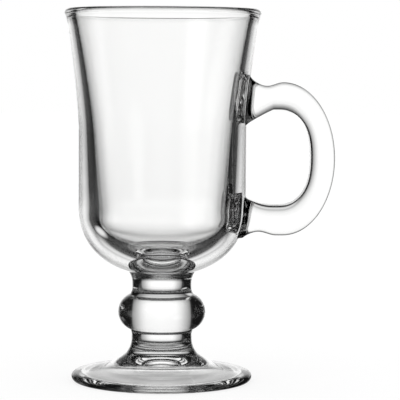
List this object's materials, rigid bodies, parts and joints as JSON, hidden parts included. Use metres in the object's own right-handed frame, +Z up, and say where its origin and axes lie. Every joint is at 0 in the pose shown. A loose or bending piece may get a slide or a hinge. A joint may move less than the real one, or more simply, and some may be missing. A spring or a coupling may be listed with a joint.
{
  "type": "irish coffee glass mug",
  "caption": "Footed clear glass mug with a flared thick-walled bowl, ball knop stem, conical foot and D-shaped finger handle.",
  "frame": {"origin": "centre of the ring that the foot stands on, on the axis of the bowl, at table height", "axes": "+Z up the bowl's axis to the rim, +X from the axis out through the middle plane of the handle, +Y to the back of the mug"},
  "size_m": [0.1055, 0.0766, 0.1456],
  "materials": {
    "clear_glass": "clear pressed soda-lime glass, fire polished"
  },
  "bodies": {
    "root": {"bowl": "clear_glass", "upper_neck": "clear_glass", "ball_knop": "clear_glass", "lower_neck": "clear_glass", "foot": "clear_glass", "handle": "clear_glass"}
  },
  "joints": []
}
